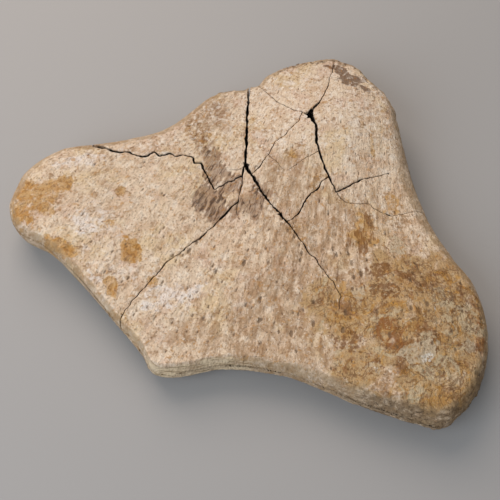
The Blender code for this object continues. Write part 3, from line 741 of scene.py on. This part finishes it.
# Layers of colour over the bone's ground colour: colour, pattern, its size in mm (one number, or across, along and
# through), noise detail, swirl, the two pattern values between which it fades in, strength, the mask it needs, and how
# strongly that mask pushes the pattern back. "even" is a plain noise, "grain" a noise that follows the vessel grooves,
# and "rings" the thin contour lines of a noise. Real vessel openings are 0.2 mm to 1 mm wide, too fine for a pixel, so
# grain and specks are drawn at 1 mm to 2 mm.
groundColour = "#e8d3b9"
boneLayers = {
    "beigeMottle": ("#cba988", "even", 15, 6, 0, 0.44, 0.66, 0.6, "", 0),
    "yellowMottle": ("#dcc290", "even", 26, 6, 0.3, 0.5, 0.64, 0.45, "", 0),
    "pinkMottle": ("#cfac98", "even", 19, 6, 0.3, 0.52, 0.66, 0.45, "", 0),
    "whiteMottle": ("#f3e6d4", "even", 6, 7, 0.2, 0.49, 0.67, 0.7, "", 0),
    "blotches": ("#ac8660", "grain", (4.5, 6, 8), 7, 0.4, 0.5, 0.66, 0.58, "grainy", 0.15),
    "warmGround": ("#9f7c57", "grain", (3.6, 9, 8), 6, 0.5, 0.32, 0.64, 0.75, "warm", 0.5),
    "paleStain": ("#f2e8df", "even", 5, 6, 0.4, 0.26, 0.5, 0.85, "pale", 0.6),
    "whiteSpecks": ("#f7eedf", "even", 2, 4, 0.3, 0.57, 0.68, 0.45, "", 0),
    "ochreWash": ("#c4964e", "even", 7, 5, 0.6, 0.2, 0.48, 0.72, "ochre", 0.6),
    "ochre": ("#b8823a", "even", 5, 7, 0.8, 0.42, 0.6, 0.7, "ochre", 0.5),
    "ochreDark": ("#8a5d2d", "even", 3.2, 5, 0.6, 0.52, 0.64, 0.55, "ochre", 0.5),
    "ochreRim": ("#8d6535", "even", 3, 4, 0.4, 0.42, 0.56, 0.65, "ochreRim", 0.5),
    "lobeWash": ("#bb9a6b", "even", 10, 7, 0.8, 0.26, 0.5, 0.85, "lobe", 0.7),
    "lobeOchre": ("#ad803f", "even", 12, 8, 0.8, 0.47, 0.6, 0.75, "lobe", 0.5),
    "lobeRust": ("#85552c", "even", 16, 8, 1.2, 0.54, 0.63, 0.68, "lobe", 0.45),
    "lobePale": ("#c6b595", "even", 17, 8, 0.9, 0.53, 0.59, 0.78, "lobe", 0.45),
    "lobeYellow": ("#c4913e", "even", 8, 6, 1.2, 0.56, 0.66, 0.6, "lobe", 0.45),
    "lobeRings": ("#6d4924", "rings", 15, 7, 0.8, 0.948, 0.985, 0.62, "lobe", 0.3),
    "rust": ("#8c5829", "even", 5, 7, 1, 0.32, 0.52, 0.82, "rust", 0.6),
    "rustRim": ("#6b4426", "even", 3, 4, 0.5, 0.44, 0.58, 0.55, "rustRim", 0.5),
    "paleTan": ("#c3b195", "even", 5, 5, 0.6, 0.28, 0.4, 0.85, "paleTan", 0.6),
    "paleTanRim": ("#74491f", "even", 2.5, 4, 0.5, 0.4, 0.52, 0.75, "paleTanRim", 0.5),
    "lobeFlecks": ("#5c3c20", "even", 2.4, 5, 0.8, 0.55, 0.68, 0.65, "lobe", 0.4),
    "lobeSpecks": ("#dccdb0", "even", 1.9, 5, 0.8, 0.58, 0.69, 0.55, "lobe", 0.4),
    "crownGrey": ("#735843", "even", 3, 6, 0.5, 0.12, 0.38, 0.85, "crownGrey", 0.6),
    "grey": ("#918578", "even", 3, 4, 0.4, 0.32, 0.55, 0.75, "grey", 0.6),
    "umberWash": ("#8f6b4e", "grain", (3.5, 8, 8), 7, 0.5, 0.14, 0.5, 0.6, "umber", 0.6),
    "umberStreaks": ("#4b3629", "grain", (1.9, 7, 8), 8, 0.7, 0.45, 0.6, 0.85, "umber", 0.45),
    "streakStain": ("#80531f", "grain", (1.7, 8, 8), 6, 0.5, 0.42, 0.56, 0.8, "streak", 0.5),
    "lipChips": ("#ece2d5", "even", 2.4, 4, 0, 0.5, 0.6, 0.65, "lip", 0.5),
    "grain": ("#8d6a47", "grain", (1.5, 5, 8), 4, 0.3, 0.55, 0.69, 0.42, "grainy", 0.2),
    "fineGrain": ("#735539", "grain", (1, 2.2, 4), 3, 0.2, 0.58, 0.69, 0.42, "grainy", 0.2),
    "grooves": ("#73543a", "grain", (1.8, 9, 8), 5, 0.4, 0.56, 0.67, 0.62, "grooved", 0.35),
    "headFlecks": ("#96683c", "even", 2.6, 6, 0.6, 0.55, 0.66, 0.62, "head", 0.3),
    "headPale": ("#fbf1e4", "even", 3.4, 6, 0.4, 0.52, 0.64, 0.55, "head", 0.3),
    "specks": ("#8d653e", "even", 1.6, 4, 0.3, 0.56, 0.66, 0.62, "", 0),
    "flecks": ("#bb8745", "even", 3.2, 5, 0.5, 0.58, 0.67, 0.6, "", 0),
    "darkDots": ("#4f3b2a", "even", 1.5, 2, 0, 0.67, 0.74, 0.75, "", 0),
    # darker tan band on the rounded rim: painted shade where the rim turns down, with the rim's own brown edge
    "rimShadeBand": ("#9f8461", "even", 6, 4, 0.4, 0.28, 0.55, 0.6, "rimShadeBand", 0.6),
    # pale colour on the lower left broken wall: the wall's own pale bone, lightened further as painted fill light
    "rimWall": ("#ead6b4", "even", (9, 9, 1.6), 4, 0.2, 0.3, 0.55, 0.8, "rimWall", 0.6),
    "rimWallBands": ("#80643e", "even", (12, 12, 1.3), 4, 0.2, 0.5, 0.62, 0.6, "rimWall", 0.4),
    "headRimFlecks": ("#5d4532", "even", 3.2, 6, 0.5, 0.5, 0.6, 0.7, "headRim", 0.4),
    "lobeWall": ("#80694d", "even", (4, 4, 2), 4, 0.4, 0.3, 0.55, 0.8, "lobeWall", 0.6),
    "wallPits": ("#4a3826", "even", (2.1, 2.1, 1.7), 3, 0.3, 0.56, 0.66, 0.72, "lobeWall", 0.4),
    "underside": ("#a58c6c", "even", 14, 4, 0, 0.2, 0.7, 0.7, "under", 0.6),
    "tideLines": ("#6f4a26", "even", 2, 4, 0.3, 0.36, 0.54, 0.75, "line", 0.5),
    "pores": ("#69543f", "even", 2, 2, 0, -0.25, 0.12, 0.7, "pore", 1),
    # whitish crystal spots and one painted highlight on the lower right corner's lip
    "crystalAndHighlight": ("#e2ded4", "even", 1.6, 3, 0.3, 0.3, 0.6, 0.88, "crystalAndHighlight", 0.6),
    # near-black painted shade on the walls of the cracks and chips, where the deep narrow gaps are dark
    "paintedCrackShade": ("#1d1611", "even", 2, 2, 0, 0.2, 0.45, 1, "broken", 0.9),
}

boneFinish = {
    "roughness": 0.82, "specular": 0.35,
    "bump": 0.001,                    # metres
    "bumpShares": {"fineGrain": 0.7, "specks": 0.9, "flecks": 0.6},      # added to the grain
    "sharpAngle": 48,                 # degrees
}


def fossilBone():
    # Mineralised bone, dry and unpolished: cream phosphate, iron stains and dark pores in layers, with painted shade
    # in the cracks and on the rims, painted light on one wall and a painted highlight, each one a noise pattern that
    # fades in between two values of noise + push * (mask - 1). Dull and a little chalky.
    material = bpy.data.materials.new("fossilBone")
    material.use_nodes = True
    tree = material.node_tree
    shader = tree.nodes["Principled BSDF"]
    place = addNode(tree, "ShaderNodeTexCoord").outputs["Object"]      # metres
    flow = addNode(tree, "ShaderNodeAttribute", {"attribute_name": "flow"}).outputs["Vector"]      # millimetres
    colour = addNode(tree, "ShaderNodeRGB").outputs[0]
    colour.default_value = linear(groundColour)
    patterns = {}
    for k, (name, layer) in enumerate(boneLayers.items()):
        hexColour, kind, size, detail, swirl, low, high, strength, mask, push = layer
        source, unit = (flow, 1) if kind == "grain" else (place, 1000)
        pattern = addNode(tree, "ShaderNodeMapping", {
            "Scale": [unit / part for part in (size if isinstance(size, tuple) else (size,) * 3)],
            "Location": (7.3 * k, 3.1 * k, 1.7 * k)}, {"Vector": source}).outputs["Vector"]
        pattern = addNode(tree, "ShaderNodeTexNoise", {
            "Scale": 1.0, "Detail": detail, "Roughness": 0.6, "Distortion": swirl},
            {"Vector": pattern}).outputs["Fac"]
        patterns[name] = pattern
        if kind == "rings":                      # 1 - 2 |noise - 0.5|, which is 1 along the noise's middle contour
            pattern = addNode(tree, "ShaderNodeMath", {"operation": "SUBTRACT", 1: 0.5}, {0: pattern}).outputs[0]
            pattern = addNode(tree, "ShaderNodeMath", {"operation": "ABSOLUTE"}, {0: pattern}).outputs[0]
            pattern = addNode(tree, "ShaderNodeMath", {
                "operation": "MULTIPLY_ADD", 1: -2.0, 2: 1.0}, {0: pattern}).outputs[0]
        if mask:
            held = addNode(tree, "ShaderNodeAttribute", {"attribute_name": mask}).outputs["Fac"]
            pattern = addNode(tree, "ShaderNodeMath", {
                "operation": "MULTIPLY_ADD", 1: push}, {0: held, 2: pattern}).outputs[0]
        amount = addNode(tree, "ShaderNodeMapRange", {
            "interpolation_type": "SMOOTHSTEP", "From Min": low + push, "From Max": high + push, "To Max": strength},
            {"Value": pattern}).outputs["Result"]
        colour = addNode(tree, "ShaderNodeMix", {
            "data_type": "RGBA", 7: linear(hexColour)}, {0: amount, 6: colour}).outputs[2]
    tree.links.new(colour, shader.inputs["Base Color"])
    shader.inputs["Roughness"].default_value = boneFinish["roughness"]
    shader.inputs["Specular IOR Level"].default_value = boneFinish["specular"]
    height = patterns["grain"]
    for name, share in boneFinish["bumpShares"].items():
        height = addNode(tree, "ShaderNodeMath", {
            "operation": "MULTIPLY_ADD", 1: share}, {0: patterns[name], 2: height}).outputs[0]
    bump = addNode(tree, "ShaderNodeBump", {"Strength": 1.0, "Distance": boneFinish["bump"]}, {"Height": height})
    tree.links.new(bump.outputs["Normal"], shader.inputs["Normal"])
    return material


# A point inside each fragment, which names it.
fragmentPoints = {
    "left_lobe": (-88, 15), "upper_left_flange": (-14, 70), "head_left": (20, 75),
    "centre_wedge": (33, 37), "head_top": (38, 100), "head_right": (85, 60), "blade": (37, -60),
}


def makeBone():
    # the bone cut by all its cracks; the loose piece with a point nearest to a fragment's own point is that fragment
    tools, lines = [], []
    for k, (name, (startGap, endGap, wander, depth, bends)) in enumerate(cracks.items()):
        mesh, line = crackMesh(name, startGap, endGap, wander, depth, bends, 100 + 13 * k)
        tools.append(linked(name, mesh))
        lines.append(line)
    for k, (name, (depth, corners)) in enumerate(chips.items()):
        tools.append(linked("chip_" + name, chipMesh("chip_" + name, depth, corners, 700 + k)))
    crackPoints = np.concatenate(lines)
    print("cracks laid:", len(tools))
    bone = linked("bone", wholeBone(crackPoints))
    print("bone surface:", len(bone.data.vertices), "points")
    pieces = breakApart(bone, tools)
    print("broken into", len(pieces), "loose pieces:", [len(p.data.polygons) for p in pieces])
    loop = roughOutline()
    material = fossilBone()
    named = {}
    for name, point in fragmentPoints.items():
        inside = (np.array(point) - boneShape["middle"]) / 1000
        gaps = [((coordinates(item.data)[:, :2] - inside) ** 2).sum(1).min() for item in pieces]
        named[name] = pieces[int(np.argmin(gaps))]
    for item in pieces:                          # splinters between two cracks go
        if item not in named.values():
            bpy.data.objects.remove(item, do_unlink=True)
    for name, item in named.items():
        mesh = item.data
        item.name = mesh.name = "bone_" + name
        mesh.materials.clear()
        mesh.materials.append(material)
        mesh.shade_smooth()
        mesh.set_sharp_from_angle(angle=math.radians(boneFinish["sharpAngle"]))
        paintMasks(mesh, loop, crackPoints)
        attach(item, "root")
        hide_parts(name)
        mesh.calc_loop_triangles()
        print("painted", name, len(mesh.loop_triangles), "triangles")


studio = {
    "lens": 62.0, "sensor": 36.0, "eye": (7.0, -269.45, 498.56), "tilt": 28.0,      # camera, in mm and degrees
    "floor": "#a2a2a2", "floorRoughness": 0.6, "floorHalf": 2.5,
    "world": 0.3, "worldTint": (1.0, 1.0, 1.0), "lampSize": 1.2,
    "lamps": {                        # place in metres, watts, tint; both aim at the bone
        "backLamp": ((-0.45, 1.0, 1.1), 17.0, (1.0, 0.84, 0.72)),
        "sideWindow": ((-0.9, -0.8, 0.9), 13.6, (0.88, 0.93, 1.0)),
    },
}


def tableTop():
    # a plain painted board: even and matt
    material = bpy.data.materials.new("tableTop")
    material.use_nodes = True
    shader = material.node_tree.nodes["Principled BSDF"]
    shader.inputs["Base Color"].default_value = linear(studio["floor"])
    shader.inputs["Roughness"].default_value = studio["floorRoughness"]
    return material


def makeStudio():
    # a flat table, an even grey air, two square lamps that face the bone, and the camera
    h = studio["floorHalf"]
    floorMesh = bpy.data.meshes.new("table")
    floorMesh.from_pydata([(-h, -h, 0), (h, -h, 0), (h, h, 0), (-h, h, 0)], [], [(0, 1, 2, 3)])
    floor = linked("table", floorMesh)
    floor.data.materials.append(tableTop())
    world = bpy.data.worlds.new("studioAir")
    bpy.context.scene.world = world
    world.use_nodes = True
    sky = world.node_tree.nodes["Background"]
    sky.inputs["Color"].default_value = studio["worldTint"] + (1.0,)
    sky.inputs["Strength"].default_value = studio["world"]
    for name, (where, power, tint) in studio["lamps"].items():
        data = bpy.data.lights.new(name, "AREA")
        data.size, data.energy, data.color = studio["lampSize"], power, tint
        lamp = linked(name, data)
        lamp.location = where
        away = -np.array(where)
        lamp.rotation_euler = (math.acos(-away[2] / np.linalg.norm(away)), 0, math.atan2(-away[0], away[1]))
    cameraData = bpy.data.cameras.new("camera")
    cameraData.lens, cameraData.sensor_width = studio["lens"], studio["sensor"]
    camera = linked("camera", cameraData)
    camera.location = (np.array(studio["eye"]) - np.array(boneShape["middle"] + (0.0,))) / 1000
    camera.rotation_euler = (math.radians(studio["tilt"]), 0, 0)
    bpy.context.scene.camera = camera
    bpy.context.scene.view_settings.view_transform = "Standard"
    print("studio ready")


makeBone()
makeStudio()
